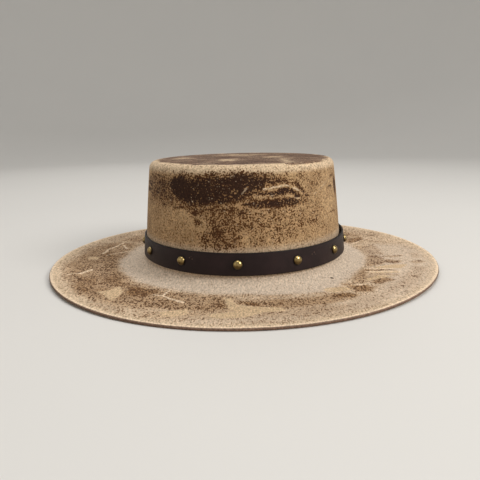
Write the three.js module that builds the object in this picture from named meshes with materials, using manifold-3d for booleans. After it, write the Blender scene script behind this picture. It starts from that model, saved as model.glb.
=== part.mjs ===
// A bolero hat. The crown and the brim are one piece of blocked felt: an oval crown with nearly
// straight walls and a flat tip, flaring at its foot into a wide flat brim with a raw edge. A plain
// leather strap lies loosely around the foot of the crown and laps over itself at the back. Domed
// brass studs stand on it at even steps, and one more holds the lap.
//
// Millimetres, +Z up. The hat stands on the underside of its brim, and the origin is the middle of
// the head opening on that level. The front of the hat faces -Y, and the wearer's left is +X.
// Angles run anticlockwise from +X, seen from above.

import * as THREE from "three";
import { mergeVertices } from "three/addons/utils/BufferGeometryUtils.js";
import Module from "manifold-3d";

// Felt body
const HEAD_LENGTH = 201; // inside the foot of the crown, front to back
const HEAD_WIDTH = 168; // inside the foot of the crown, side to side
const FELT = 2; // thickness of the felt, everywhere
const CROWN_HEIGHT = 87.8; // from the top of the brim to the tip
const WALL_LEAN = 7; // how far the crown's wall leans in, from the flare to the tip
const WALL_BOW = 0.25; // share of the lean that comes from the wall's slight outward bow
const SHOULDER_RADIUS = 6; // between the wall and the tip, outside
const FLARE_RISE = 9.4; // height of the curve from the brim into the wall
const FLARE_REACH = 18; // width of that curve
const BRIM_WIDTH = 79.6; // from the foot of the wall to the rim
const SIDE_LIFT = 1.7; // how far the rim's two sides rise above its front and back
const LIFT_START = 0.4; // where that rise begins, as a share of the flat of the brim
const RIM_BEVEL = 0.5; // worn corners of the raw edge

// Leather band, which stands with its lower edge where the flare begins
const BAND_WIDTH = 16.7;
const BAND_LEATHER = 1.4;
const BAND_GAP = 0.4; // between the leather and the felt at the front, back and wearer's right
const BAND_SLACK = 1.8; // how much wider the gap is at the wearer's left
const BAND_BEVEL = 0.3; // trimmed corners of the strap
const LAP_LENGTH = 24; // where the strap's ends lie over each other
const LAP_RAMP = 16; // the stretch in which the outer end climbs over the inner one
const LAP_GAP = 0.3; // between the two layers

// Studs
const STUD_PITCH = 45.8; // along the strap's outer face
const STUD_DIAMETER = 6.9;
const STUD_DOME = 2.5; // height of the dome
const STUD_LIP = 0.4; // height of the straight edge under the dome
const STUD_SHIFT = -5; // distance of the front stud from the middle, along the strap
const STUD_SEAT_GAP = 0.3; // between a stud and the leather
const POST_DIAMETER = 2.2;
const POST_CLEARANCE = 0.3; // around the post in its hole

// Fineness of the facets
const AROUND = 80;
const SHOULDER_STEPS = 4;
const WALL_STEPS = 3;
const FLARE_STEPS = 5;
const BRIM_STEPS = 4;
const STRAP_STEPS = 96;
const OVAL_STEPS = 720; // for measuring along the oval
const STUD_SIDES = 12;
const DOME_STEPS = 3;

// Half sizes of the oval outside the foot of the crown. Everything else is so far outside or inside it.
const HALF_WIDTH = HEAD_WIDTH / 2 + FELT;
const HALF_LENGTH = HEAD_LENGTH / 2 + FELT;
const BRIM_TOP = FELT;
const TIP = BRIM_TOP + CROWN_HEIGHT;
const FLARE_TOP = BRIM_TOP + FLARE_RISE;

const felt = new THREE.MeshStandardMaterial({ color: 0xc4a682, roughness: 0.95, metalness: 0 });
const leather = new THREE.MeshStandardMaterial({ color: 0x2e2324, roughness: 0.5, metalness: 0 });
const brass = new THREE.MeshStandardMaterial({ color: 0xb8974a, roughness: 0.28, metalness: 1 });

const wasm = await Module();
wasm.setup();

// Where the felt's outer face stands at height z, as a distance outside the oval.
function wallOut(z) {
  const share = (z - FLARE_TOP) / (TIP - FLARE_TOP);
  if (share >= 0) return -WALL_LEAN * ((1 - WALL_BOW) * share + WALL_BOW * share * share);
  const drop = (FLARE_TOP - z) / FLARE_RISE;
  return FLARE_REACH * (1 - Math.sqrt(Math.max(0, 1 - drop * drop)));
}

// The felt's section as [distance outside the oval, height], down its outer face from the edge of
// the tip to the rim, for a face that lies depth mm inside the felt.
function feltFace(depth) {
  const face = [];
  const shoulderZ = TIP - SHOULDER_RADIUS;
  const shoulderOut = wallOut(shoulderZ) - SHOULDER_RADIUS;
  const radius = SHOULDER_RADIUS - depth;
  for (let i = 0; i <= SHOULDER_STEPS; i++) {
    const angle = (Math.PI / 2) * (1 - i / SHOULDER_STEPS);
    face.push([shoulderOut + radius * Math.cos(angle), shoulderZ + radius * Math.sin(angle)]);
  }
  for (let i = 1; i < WALL_STEPS; i++) {
    const z = THREE.MathUtils.lerp(shoulderZ, FLARE_TOP, i / WALL_STEPS);
    face.push([wallOut(z) - depth, z]);
  }
  for (let i = 0; i <= FLARE_STEPS; i++) {
    const angle = (Math.PI / 2) * (i / FLARE_STEPS);
    face.push([
      FLARE_REACH - (FLARE_REACH + depth) * Math.cos(angle),
      FLARE_TOP - (FLARE_RISE + depth) * Math.sin(angle),
    ]);
  }
  for (let i = 1; i < BRIM_STEPS; i++) {
    face.push([THREE.MathUtils.lerp(FLARE_REACH, BRIM_WIDTH, i / BRIM_STEPS), BRIM_TOP - depth]);
  }
  return face;
}

// How far the brim is lifted at an angle, by its distance outside the oval.
function brimLift(angle, out) {
  const start = THREE.MathUtils.lerp(FLARE_REACH, BRIM_WIDTH, LIFT_START);
  return SIDE_LIFT * Math.cos(angle) ** 2 * THREE.MathUtils.smoothstep(out, start, BRIM_WIDTH);
}

// The felt's whole section is turned as a round lathe form, and its points are then moved out to
// the oval: inside the edge of the tip in proportion, and outside it by a constant distance.
function feltBody() {
  const outer = feltFace(0);
  const inner = feltFace(FELT).reverse();
  const rim = [
    [BRIM_WIDTH - RIM_BEVEL, BRIM_TOP],
    [BRIM_WIDTH, BRIM_TOP - RIM_BEVEL],
    [BRIM_WIDTH, RIM_BEVEL],
    [BRIM_WIDTH - RIM_BEVEL, 0],
  ];
  const round = HALF_LENGTH;
  const profile = [...outer, ...rim, ...inner].map(([out, z]) => new THREE.Vector2(round + out, z));
  const tipRadius = profile[0].x;
  profile.unshift(new THREE.Vector2(0, TIP), new THREE.Vector2(tipRadius / 2, TIP));
  profile.push(new THREE.Vector2(tipRadius / 2, TIP - FELT), new THREE.Vector2(0, TIP - FELT));
  const geometry = new THREE.LatheGeometry(profile.reverse(), AROUND).rotateX(Math.PI / 2);

  const positions = geometry.getAttribute("position");
  for (let i = 0; i < positions.count; i++) {
    const angle = Math.atan2(positions.getY(i), positions.getX(i));
    const radius = Math.hypot(positions.getX(i), positions.getY(i));
    const inTip = Math.min(1, radius / tipRadius);
    const out = Math.max(radius, tipRadius) - round;
    positions.setXYZ(
      i,
      inTip * (HALF_WIDTH + out) * Math.cos(angle),
      inTip * (HALF_LENGTH + out) * Math.sin(angle),
      positions.getZ(i) + brimLift(angle, out),
    );
  }
  return geometry;
}

// The strap's inner face hugs the felt at its lower and upper edges, with the gap and the slack.
const BAND_LOW = FLARE_TOP;
const BAND_HIGH = BAND_LOW + BAND_WIDTH;
const BAND_SIDE_SHIFT = BAND_SLACK / 2;

// A point of the band at an angle, up its width by share and outwards from its inner face by depth.
function bandPoint(angle, share, depth) {
  const wall = THREE.MathUtils.lerp(wallOut(BAND_LOW), wallOut(BAND_HIGH), share);
  const out = wall + BAND_GAP + depth;
  return new THREE.Vector3(
    BAND_SIDE_SHIFT + (HALF_WIDTH + BAND_SLACK / 2 + out) * Math.cos(angle),
    (HALF_LENGTH + out) * Math.sin(angle),
    THREE.MathUtils.lerp(BAND_LOW, BAND_HIGH, share),
  );
}

// The distance along the band's oval from the front, at each of many even angles.
const FRONT = -Math.PI / 2;
const ovalLengths = [0];
for (let i = 0; i < OVAL_STEPS; i++) {
  const from = bandPoint(FRONT + (2 * Math.PI * i) / OVAL_STEPS, 0.5, BAND_LEATHER);
  const to = bandPoint(FRONT + (2 * Math.PI * (i + 1)) / OVAL_STEPS, 0.5, BAND_LEATHER);
  ovalLengths.push(ovalLengths[i] + from.distanceTo(to));
}
const BAND_ROUND = ovalLengths[OVAL_STEPS];

// The angle at a distance along the band from the front, over any number of turns.
function bandAngle(distance) {
  const turns = Math.floor(distance / BAND_ROUND);
  const rest = distance - turns * BAND_ROUND;
  const i = Math.max(1, ovalLengths.findIndex((length) => length >= rest));
  const share = (rest - ovalLengths[i - 1]) / (ovalLengths[i] - ovalLengths[i - 1]);
  return FRONT + 2 * Math.PI * (turns + (i - 1 + share) / OVAL_STEPS);
}

// The studs stand at an even pitch to both sides of the front one. What is left of the strap's
// round is one wider space at the back, and the lap and its own stud are in the middle of it.
const STUD_COUNT = Math.round(BAND_ROUND / STUD_PITCH);
const PITCHED_STUDS = STUD_COUNT - 1;
const STUDS_BEFORE_FRONT = Math.floor((PITCHED_STUDS - 1) / 2);
const FIRST_STUD = STUD_SHIFT - STUDS_BEFORE_FRONT * STUD_PITCH;
const LAST_STUD = FIRST_STUD + (PITCHED_STUDS - 1) * STUD_PITCH;
const LAP_MIDDLE = (LAST_STUD + FIRST_STUD + BAND_ROUND) / 2;
const LAP_STEP = BAND_LEATHER + LAP_GAP;

// A closed strip swept through sections of equally many points, with flat ends.
function sweep(sections) {
  const size = sections[0].length;
  const points = sections.flat().flatMap((point) => point.toArray());
  const faces = [];
  for (let i = 0; i + 1 < sections.length; i++) {
    for (let j = 0; j < size; j++) {
      const a = i * size + j;
      const b = i * size + ((j + 1) % size);
      faces.push(a, b + size, b, a, a + size, b + size);
    }
  }
  const last = (sections.length - 1) * size;
  for (let j = 1; j + 1 < size; j++) {
    faces.push(0, j, j + 1, last, last + j + 1, last + j);
  }
  return new THREE.BufferGeometry()
    .setAttribute("position", new THREE.Float32BufferAttribute(points, 3))
    .setIndex(faces);
}

// The strap starts under the lap, goes once round and ends over its own start.
function bandStrap() {
  const bevelUp = BAND_BEVEL / BAND_WIDTH;
  const corners = [
    { share: bevelUp, depth: 0 },
    { share: 0, depth: BAND_BEVEL },
    { share: 0, depth: BAND_LEATHER - BAND_BEVEL },
    { share: bevelUp, depth: BAND_LEATHER },
    { share: 1 - bevelUp, depth: BAND_LEATHER },
    { share: 1, depth: BAND_LEATHER - BAND_BEVEL },
    { share: 1, depth: BAND_BEVEL },
    { share: 1 - bevelUp, depth: 0 },
  ];
  const start = LAP_MIDDLE - LAP_LENGTH / 2;
  const length = BAND_ROUND + LAP_LENGTH;
  const sections = [];
  for (let i = 0; i <= STRAP_STEPS; i++) {
    const along = (length * i) / STRAP_STEPS;
    const angle = bandAngle(start + along);
    const climb = LAP_STEP * THREE.MathUtils.smoothstep(along, BAND_ROUND - LAP_RAMP, BAND_ROUND);
    sections.push(corners.map((corner) => bandPoint(angle, corner.share, corner.depth + climb)));
  }
  return sweep(sections);
}

// The place of each stud: its seat on the strap's outer face and the direction it points.
function studSeats() {
  const seats = [];
  for (let i = 0; i < STUD_COUNT; i++) {
    const onLap = i === PITCHED_STUDS;
    const angle = bandAngle(onLap ? LAP_MIDDLE : FIRST_STUD + i * STUD_PITCH);
    const depth = BAND_LEATHER + (onLap ? LAP_STEP : 0);
    const seat = bandPoint(angle, 0.5, depth);
    const nudge = 1e-3;
    const along = bandPoint(angle + nudge, 0.5, depth).sub(bandPoint(angle - nudge, 0.5, depth));
    const up = bandPoint(angle, 1, depth).sub(bandPoint(angle, 0, depth));
    const direction = along.cross(up).normalize();
    seats.push({ seat, direction, leather: depth });
  }
  return seats;
}

// A stud stands on its seat with its axis along +Z: dome, straight lip, and a post through the leather.
function studShape(leatherDepth) {
  const radius = STUD_DIAMETER / 2;
  const postRadius = POST_DIAMETER / 2;
  const profile = [
    new THREE.Vector2(0, -leatherDepth),
    new THREE.Vector2(postRadius, -leatherDepth),
    new THREE.Vector2(postRadius, STUD_SEAT_GAP),
    new THREE.Vector2(radius, STUD_SEAT_GAP),
  ];
  for (let i = 0; i <= DOME_STEPS; i++) {
    const angle = (Math.PI / 2) * (i / DOME_STEPS);
    profile.push(
      new THREE.Vector2(
        i === DOME_STEPS ? 0 : radius * Math.cos(angle),
        STUD_SEAT_GAP + STUD_LIP + (STUD_DOME - STUD_LIP) * Math.sin(angle),
      ),
    );
  }
  return new THREE.LatheGeometry(profile, STUD_SIDES).rotateX(Math.PI / 2);
}

function solidOf(geometry) {
  const bare = geometry.index ? geometry.toNonIndexed() : geometry.clone();
  bare.deleteAttribute("normal");
  bare.deleteAttribute("uv");
  const merged = mergeVertices(bare, 1e-4);
  return new wasm.Manifold(
    new wasm.Mesh({
      numProp: 3,
      vertProperties: merged.getAttribute("position").array,
      triVerts: new Uint32Array(merged.index.array),
    }),
  );
}

function geometryOf(solid) {
  const mesh = solid.getMesh();
  const geometry = new THREE.BufferGeometry();
  geometry.setAttribute("position", new THREE.BufferAttribute(mesh.vertProperties, 3));
  geometry.setIndex(new THREE.BufferAttribute(mesh.triVerts, 1));
  geometry.computeVertexNormals();
  return geometry;
}

function named(name, geometry, material) {
  const mesh = new THREE.Mesh(geometry, material);
  mesh.name = name;
  return mesh;
}

const hat = new THREE.Group();
hat.add(named("felt_body", feltBody(), felt));

const trim = new THREE.Group();
const UP = new THREE.Vector3(0, 0, 1);
let strap = solidOf(bandStrap());
studSeats().forEach(({ seat, direction, leather: depth }, i) => {
  const stud = named(`stud_${String(i + 1).padStart(2, "0")}`, studShape(depth), brass);
  stud.position.copy(seat);
  stud.quaternion.setFromUnitVectors(UP, direction);
  stud.updateMatrix();
  trim.add(stud);

  const holeLength = 4 * depth;
  const holeRadius = POST_DIAMETER / 2 + POST_CLEARANCE;
  const hole = new THREE.CylinderGeometry(holeRadius, holeRadius, holeLength, STUD_SIDES)
    .rotateX(Math.PI / 2)
    .applyMatrix4(stud.matrix);
  strap = strap.subtract(solidOf(hole));
});
trim.add(named("hat_band", geometryOf(strap), leather));
hat.add(trim);

export default hat;
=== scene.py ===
"""A bolero hat of distressed tan felt, with a studded leather band, on a pale studio floor."""

import contextlib
import functools
import math

import bmesh
import bpy
import numpy as np
from bpy.props import FloatProperty, FloatVectorProperty, IntProperty, PointerProperty
from mathutils import Matrix, Vector, noise


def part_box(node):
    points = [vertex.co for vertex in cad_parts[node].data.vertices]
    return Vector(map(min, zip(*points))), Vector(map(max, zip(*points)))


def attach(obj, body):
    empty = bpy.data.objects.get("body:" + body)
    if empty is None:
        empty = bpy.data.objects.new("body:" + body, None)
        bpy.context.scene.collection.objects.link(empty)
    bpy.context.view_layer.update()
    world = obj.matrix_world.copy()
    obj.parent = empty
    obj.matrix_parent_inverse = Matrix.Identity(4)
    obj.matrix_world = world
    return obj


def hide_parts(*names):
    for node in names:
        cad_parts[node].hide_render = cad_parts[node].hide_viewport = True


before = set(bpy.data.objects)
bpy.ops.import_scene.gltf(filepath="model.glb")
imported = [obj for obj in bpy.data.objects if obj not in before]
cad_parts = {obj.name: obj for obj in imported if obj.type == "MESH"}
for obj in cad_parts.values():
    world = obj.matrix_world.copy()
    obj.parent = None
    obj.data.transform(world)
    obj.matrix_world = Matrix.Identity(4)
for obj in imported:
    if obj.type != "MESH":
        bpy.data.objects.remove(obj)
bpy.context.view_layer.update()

bl_info = {
    "name": "Bolero Hat",
    "version": (1, 0, 0),
    "blender": (4, 5, 0),
    "location": "View3D > Sidebar > Hat",
    "description": "Makes a bolero hat: blocked felt, a studded leather band and a studio stage",
    "category": "Add Mesh",
}

MM = 0.001
FRONT = -math.pi / 2
UP = (0.0, 0.0, 1.0)
ROUND_STEPS = 1440  # for measuring along the ovals
PATH_REACH = 0.65  # of a round, that the band's path goes to each side of the front
RIM_STEPS = 6  # round the raw edge
JOINED = 0.02 * MM  # points closer than this become one


def from_screen(shown):
    """A linear colour from the three values, 0 to 255, that a screen shows it by."""
    shares = [value / 255 for value in shown]
    return tuple(s / 12.92 if s <= 0.04045 else ((s + 0.055) / 1.055) ** 2.4 for s in shares)


def length(name, description, default):
    """A length, given in millimetres and kept in metres."""
    return FloatProperty(name=name, description=description, default=default * MM, unit="LENGTH")


def share(name, description, default):
    return FloatProperty(name=name, description=description, default=default, subtype="FACTOR")


def turn(name, description, default):
    return FloatProperty(name=name, description=description, default=default, unit="ROTATION")


def colour(name, description, *shown):
    return FloatVectorProperty(
        name=name, description=description, default=from_screen(shown),
        size=3, subtype="COLOR", min=0, max=1,
    )


class HAT_PG_felt(bpy.types.PropertyGroup):
    """Sizes and colours of the felt."""

    brim_width: length("Brim width", "From the foot of the crown to the rim", 79.6)
    thickness: length("Thickness", "Thickness of the felt", 2)
    flare_rise: length("Flare rise", "Height of the curve between brim and crown", 9.4)
    flare_reach: length("Flare reach", "Width of the curve between brim and crown", 18)
    wall_lean: length("Wall lean", "How far the crown's wall leans in", 7)
    wall_bow: share("Wall bow", "How much of the lean is a bow outwards", 0.25)
    shoulder: length("Shoulder", "Radius between the wall and the tip", 6)
    side_lift: length("Side lift", "How far the rim's sides rise", 1.7)
    lift_start: share("Lift start", "Where on the brim the sides start to rise", 0.4)
    rim_radius: length("Rim radius", "Worn rounding of the raw edge", 0.7)
    waviness: length("Waviness", "Height of the brim's slow unevenness", 0.8)
    around: IntProperty(name="Around", description="Facets around the hat", default=440)

    tan: colour("Tan", "The crown's own colour", 190, 158, 118)
    sand: colour("Sand", "The brim's own colour", 208, 183, 154)
    cream: colour("Cream", "Rubbed edges", 216, 192, 161)
    # On the rim's top corner this colour is partly painted highlight.
    fold: colour("Fold", "The tops of the creases and of the rim", 236, 212, 182)
    chalk: colour("Chalk", "The smooth zone round the band", 211, 193, 173)
    patch: colour("Patch", "The smooth patches in the wash", 203, 175, 138)
    freckle: colour("Freckle", "The fine specks all over", 112, 80, 48)
    wash: colour("Wash", "The soft brown wash", 150, 113, 70)
    wash_speck: colour("Wash speck", "Dark specks in the wash", 84, 52, 26)
    scorch: colour("Scorch", "The brown halo round the dark stain", 120, 80, 42)
    burn: colour("Burn", "The dark stain", 46, 27, 20)
    patina: colour("Patina", "The mauve brown of the tip", 119, 92, 72)
    patina_speck: colour("Patina speck", "Dark specks of the tip", 66, 44, 34)
    # Painted shade: the colour that darkens the rim's cut edge as if it lay in shade.
    painted_rim_shade: colour("Raw edge", "The cut edge of the rim", 108, 82, 70)
    inner: colour("Inner side", "The underside and the inside", 190, 160, 122)


class HAT_PG_band(bpy.types.PropertyGroup):
    """Sizes and colours of the leather band."""

    leather: length("Leather", "Thickness of the strap", 1.4)
    gap: length("Gap", "Between the leather and the felt", 0.4)
    slack: length("Slack", "How much wider the gap is at the wearer's left", 1.8)
    edge_radius: length("Edge radius", "Rounding of the strap's edges", 0.4)
    lap: length("Lap", "Where the strap's ends lie over each other", 24)
    ramp: length("Ramp", "Where the outer end climbs over the inner one", 16)
    lap_gap: length("Lap gap", "Between the two layers of the lap", 0.3)
    dimple: length("Dimple", "How far a stud presses the leather in", 0.22)
    along: IntProperty(name="Along", description="Facets along the strap", default=640)

    hide: colour("Hide", "The leather's face", 34, 22, 23)
    worn: colour("Worn", "The leather where it is rubbed", 52, 35, 35)
    # Also paints the shadow ring round each stud.
    cut: colour("Cut", "The strap's dyed edges", 22, 16, 15)
    nick: colour("Nick", "Bare leather in the nicks", 96, 74, 62)


class HAT_PG_studs(bpy.types.PropertyGroup):
    """Sizes and colours of the studs."""

    pitch: length("Pitch", "From stud to stud along the band", 45.8)
    shift: length("Shift", "From the front to the stud nearest to it", -5)
    diameter: length("Diameter", "Across the foot of a stud", 6.9)
    dome: length("Dome", "Height of a stud", 2.5)
    lip: length("Lip", "Height of the straight edge at a stud's foot", 0.4)
    tilt: turn("Tilt", "Most that a stud sits askew", math.radians(2.5))
    seed: IntProperty(name="Seed", description="Seed for each stud's turn and tilt", default=4)
    around: IntProperty(name="Around", description="Facets around a stud", default=40)

    brass: colour("Brass", "Polished brass", 196, 170, 114)
    # Also the colour of the painted shade on each stud's foot and lower half.
    shaded_tarnish: colour("Tarnish", "Brass at the foot and in pits", 58, 45, 26)


class HAT_PG_stage(bpy.types.PropertyGroup):
    """The camera, the lights and the floor."""

    distance: length("Distance", "From the camera to the middle of the hat, along Y", 474.9)
    height: length("Height", "Height of the camera above the floor", 116.6)
    lens: FloatProperty(name="Lens", description="Focal length in mm on a 36 mm sensor", default=40.12)
    pan: turn("Pan", "Turn to the right", -0.0057)
    tilt: turn("Tilt", "Turn upwards", -0.2087)
    roll: turn("Roll", "Turn clockwise", -0.0223)
    floor_flat: length("Flat floor", "Radius of the flat floor", 1500)
    floor_bend: length("Floor bend", "Radius of the bend up to the backdrop", 1000)
    floor: colour("Floor", "The pale floor", 222, 220, 216)


# Dark stains on the crown's wall, charted in millimetres along it from the front and above the floor.
WALL_BURNS = [
    # strength, fade, corners (along, height)
    (1.14, 7, [(-68, 76), (-59, 81), (-47, 84), (-36, 81), (-22, 82), (-18, 62), (-30, 61), (-43, 60.5),
               (-51, 63), (-58, 67)]),
    (0.94, 6, [(-24, 84), (-14, 85), (5, 85), (15, 83), (24, 80), (19, 76), (17, 71), (10, 68.5),
              (0, 65), (-5, 62.5), (-18, 60.5), (-26, 60)]),
    (0.76, 4, [(4, 72), (16, 74), (32, 75), (42, 74.5), (34, 80), (22, 83), (8, 84)]),
    (0.95, 2, [(5, 70.5), (15, 71.5), (24, 72.7), (34, 73), (43, 70), (52, 65.5), (46, 65.5), (30, 68),
               (17, 69), (4, 67.3)]),
    (0.86, 2.5, [(-3, 60.5), (3, 64.3), (18, 66.5), (37, 65.6), (53, 64.2), (50, 60), (36, 59.5),
                 (10, 59.5)]),
    (0.76, 2, [(36, 77), (46, 75.5), (53, 70.5), (56.5, 65), (53.5, 65), (48, 70), (42, 73)]),
    (0.66, 5, [(-84, 79), (-68, 82), (-58, 80), (-56, 64), (-46, 59), (-60, 60), (-74, 62), (-86, 66)]),
    (0.5, 6, [(-100, 84), (-60, 86), (-56, 62), (-70, 57), (-98, 60)]),
    (0.9, 1.5, [(-114, 70), (-96, 70.5), (-80, 71.5), (-78, 69), (-94, 68.4), (-114, 66)]),
    (0.5, 3, [(-114, 79), (-94, 80), (-80, 78), (-80, 71), (-114, 71)]),
    (0.6, 2.5, [(-62, 61), (-44, 60), (-28, 61), (-2, 61.5), (6, 58), (-8, 55.5), (-30, 55), (-46, 57)]),
    (0.47, 6, [(-36, 60), (6, 60), (7, 50), (0, 42), (2, 29), (-28, 29), (-34, 38), (-26, 48)]),
    (0.6, 3, [(-24, 52), (-8, 53), (-8, 44), (-12, 37), (-3, 34), (-3, 29), (-24, 29), (-30, 36), (-29, 42),
              (-22, 47)]),
    (0.4, 6, [(0, 61), (34, 61), (38, 50), (24, 44), (2, 40)]),
    (0.34, 6, [(34, 60), (70, 60), (66, 42), (30, 34), (0, 29), (6, 40)]),
    (0.3, 5, [(20, 84), (50, 84), (78, 81), (72, 70), (56, 66), (50, 76), (30, 79)]),
    (0.4, 3, [(-38, 44), (-28, 42), (-24, 34), (-36, 36)]),
]
# Small dark spots on the wall, charted the same way.
WALL_SPOTS = [
    # along, height, half_long, half_high, strength
    (17, 46.5, 4.5, 3, 0.58), (25, 46.5, 3.5, 1.3, 0.58), (34, 52, 6, 2, 0.5), (57, 45.5, 8, 1.3, 0.62),
    (-1, 55.5, 5.5, 3, 0.66), (4, 46, 5, 2.5, 0.58), (-35, 56, 5, 2, 0.65), (-34, 48.5, 3.5, 1.8, 0.62),
    (60, 74, 3.5, 1.6, 0.5), (70, 79.5, 7, 1, 0.5), (75, 41, 4, 1, 0.45), (69, 53.5, 5, 2, 0.4),
    (90, 70, 4.5, 1.3, 0.85), (94, 48.5, 9, 1.5, 0.62), (98, 77, 8, 2, 0.55), (109, 68, 6, 8, 0.75),
    (-100, 73, 9, 1.3, 0.85), (-106, 77.5, 6, 1.1, 0.75), (-96, 66, 7, 1.2, 0.75), (-88, 69, 5, 1, 0.7),
    (-102, 61, 5, 1, 0.5), (-92, 79.5, 5, 1, 0.6), (-75, 78, 3.5, 3, 0.62), (-85, 73, 4, 1.5, 0.62),
    (-75, 63.5, 5, 1.3, 0.68), (-52, 58.5, 6, 1.8, 0.7), (-93, 75.5, 4, 1, 0.95), (-83, 67, 4, 1, 0.95),
    (-79, 75.5, 3, 1, 0.95), (-90, 63, 4, 1, 0.8), (-72, 69.5, 3, 1.2, 0.95), (-82, 81, 4, 1, 0.8),
    (-108, 73.5, 5, 1, 0.9), (-99, 69.5, 4, 0.9, 0.95), (-70, 59.5, 3, 1, 0.8),
    (20, 84, 3, 1.3, 0.6), (34, 83, 2, 1.2, 0.45), (40, 37, 5, 2, 0.42), (84, 62, 3, 1, 0.35),
    (152, 58, 12, 2, 0.5), (168, 44, 8, 2, 0.5), (-150, 52, 10, 2, 0.55), (-172, 40, 7, 3, 0.5),
    (222, 50, 9, 3, 0.5), (254, 38, 8, 3, 0.5), (-230, 46, 7, 2, 0.45), (196, 34, 6, 2, 0.5),
]
# The same for the sides and the back, where the photo doesn't reach.
HIDDEN_BURNS = [
    # strength, fade, corners (along, height)
    (0.95, 3, [(-214, 70), (-204, 80), (-178, 83), (-156, 80), (-150, 73), (-166, 66), (-190, 63)]),
    (0.5, 5, [(-226, 74), (-200, 84), (-160, 84), (-142, 76), (-150, 62), (-196, 58)]),
    (0.45, 5, [(-190, 62), (-168, 62), (-166, 44), (-176, 32), (-192, 36)]),
    (0.7, 3, [(150, 78), (176, 81), (196, 76), (190, 70), (168, 71), (152, 73)]),
    (0.4, 5, [(140, 82), (200, 82), (206, 70), (180, 64), (146, 68)]),
    (0.42, 5, [(228, 62), (256, 64), (262, 46), (240, 34), (226, 44)]),
    (0.6, 3, [(236, 76), (258, 78), (268, 72), (250, 69), (236, 71)]),
]

# Brown washes on the brim's top, charted in millimetres to the wearer's left and to the back.
BRIM_WASHES = [
    # strength, fade, corners (x, y)
    (0.63, 6, [(-147, 10), (-147, -30), (-141, -68), (-125, -104), (-102, -128), (-74, -143), (-40, -150),
              (-6, -152), (-6, -122), (-34, -116), (-53, -107), (-70, -95), (-86, -77), (-99, -53),
              (-107, -20), (-108, 10)]),
    (0.5, 6, [(-147, 28), (-147, 5), (-105, 5), (-108, 60), (-128, 66), (-140, 50)]),
    (0.8, 5, [(-108, -58), (-98, -60), (-91, -80), (-78, -91), (-62, -101), (-57, -113), (-66, -121),
              (-84, -119), (-90, -98), (-100, -94), (-112, -80)]),
    (1.0, 4, [(-88, -93), (-72, -96), (-60, -106), (-63, -116), (-80, -117), (-87, -107)]),
    (0.72, 4, [(-134, 18), (-125, 32), (-118, 8), (-114, -10), (-98, -55), (-107, -61), (-120, -40),
               (-128, -8)]),
    (0.54, 4, [(-130, 34), (-122, 62), (-111, 64), (-109, 26), (-118, 12), (-129, 8)]),
    (0.55, 5, [(-149, 10), (-152, -28), (-146, -60), (-136, -62), (-134, -20), (-138, 10)]),
    (0.78, 6, [(-136, -62), (-112, -66), (-106, -98), (-112, -116), (-128, -98)]),
    (0.7, 2.5, [(-22, -128), (-10, -128), (-9, -148), (-18, -150)]),
    (0.53, 4, [(-5, -129), (20, -130), (46, -128), (62, -121), (75, -117), (80, -125), (70, -134),
              (50, -143), (30, -149), (8, -151), (-2, -142)]),
    (0.9, 3, [(-3, -131), (12, -136), (12, -147), (0, -143)]),
    (0.88, 2.5, [(60, -121), (74, -118), (79, -126), (64, -131)]),
    (0.85, 2, [(76, -104), (90, -101), (95, -107), (90, -117), (79, -116)]),
    (0.75, 1.5, [(71, -93), (76, -94), (82, -99), (79, -103), (74, -102)]),
    (0.46, 3, [(79, -97), (84, -78), (91, -60), (97, -48), (102, -60), (94, -76), (89, -99)]),
    (0.74, 2, [(95, -98), (98, -88), (109, -84), (113, -90), (102, -100)]),
    (0.6, 3, [(100, -45), (104, -28), (109, -11), (116, -9), (122, -22), (124, -34), (118, -42), (106, -48)]),
    (0.66, 2.5, [(119, -38), (128, -44), (133, -34), (124, -26)]),
    (0.8, 1.3, [(101, -59.5), (122, -62), (121, -65), (102, -62.5)]),
    (0.7, 1.3, [(104, -72), (120, -74), (118, -77), (106, -75)]),
    (0.5, 1.5, [(122, -14), (140, -15), (139, -19), (123, -19)]),
    (0.42, 4, [(100, 30), (128, 26), (126, -8), (108, -12), (104, 8)]),
    (0.72, 3, [(103, 62), (120, 66), (122, 53), (112, 39), (101, 43)]),
    (0.5, 2.5, [(139, -38), (150, -36), (151, -47), (141, -47)]),
    (0.42, 3, [(126, -77), (137, -79), (133, -90), (124, -86)]),
    (0.3, 4, [(146, -10), (154, -12), (152, -30), (146, -28)]),
    (0.32, 6, [(-70, -146), (0, -152), (60, -146), (96, -118), (120, -84), (140, -50), (148, -60),
               (124, -104), (90, -138), (40, -164), (-30, -168), (-66, -160)]),
    (0.36, 5, [(-20, -112), (40, -114), (60, -108), (58, -118), (20, -124), (-20, -120)]),
]
# The same for the back of the brim, where the photo doesn't reach.
HIDDEN_WASHES = [
    # strength, fade, corners (x, y)
    (0.5, 7, [(-108, 60), (-92, 98), (-60, 126), (-20, 140), (-14, 158), (-60, 150), (-104, 118),
              (-128, 74)]),
    (0.85, 4, [(-84, 108), (-66, 118), (-58, 132), (-76, 134), (-92, 122)]),
    (0.6, 4, [(-34, 134), (-6, 140), (12, 150), (-12, 156), (-36, 148)]),
    (0.5, 6, [(14, 132), (58, 124), (92, 96), (106, 66), (124, 70), (108, 108), (66, 142), (16, 152)]),
    (0.85, 3, [(58, 122), (76, 114), (86, 122), (70, 134)]),
    (0.7, 3, [(100, 84), (112, 72), (118, 84), (106, 96)]),
    (0.6, 2, [(26, 140), (44, 138), (42, 143), (26, 145)]),
]
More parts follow.
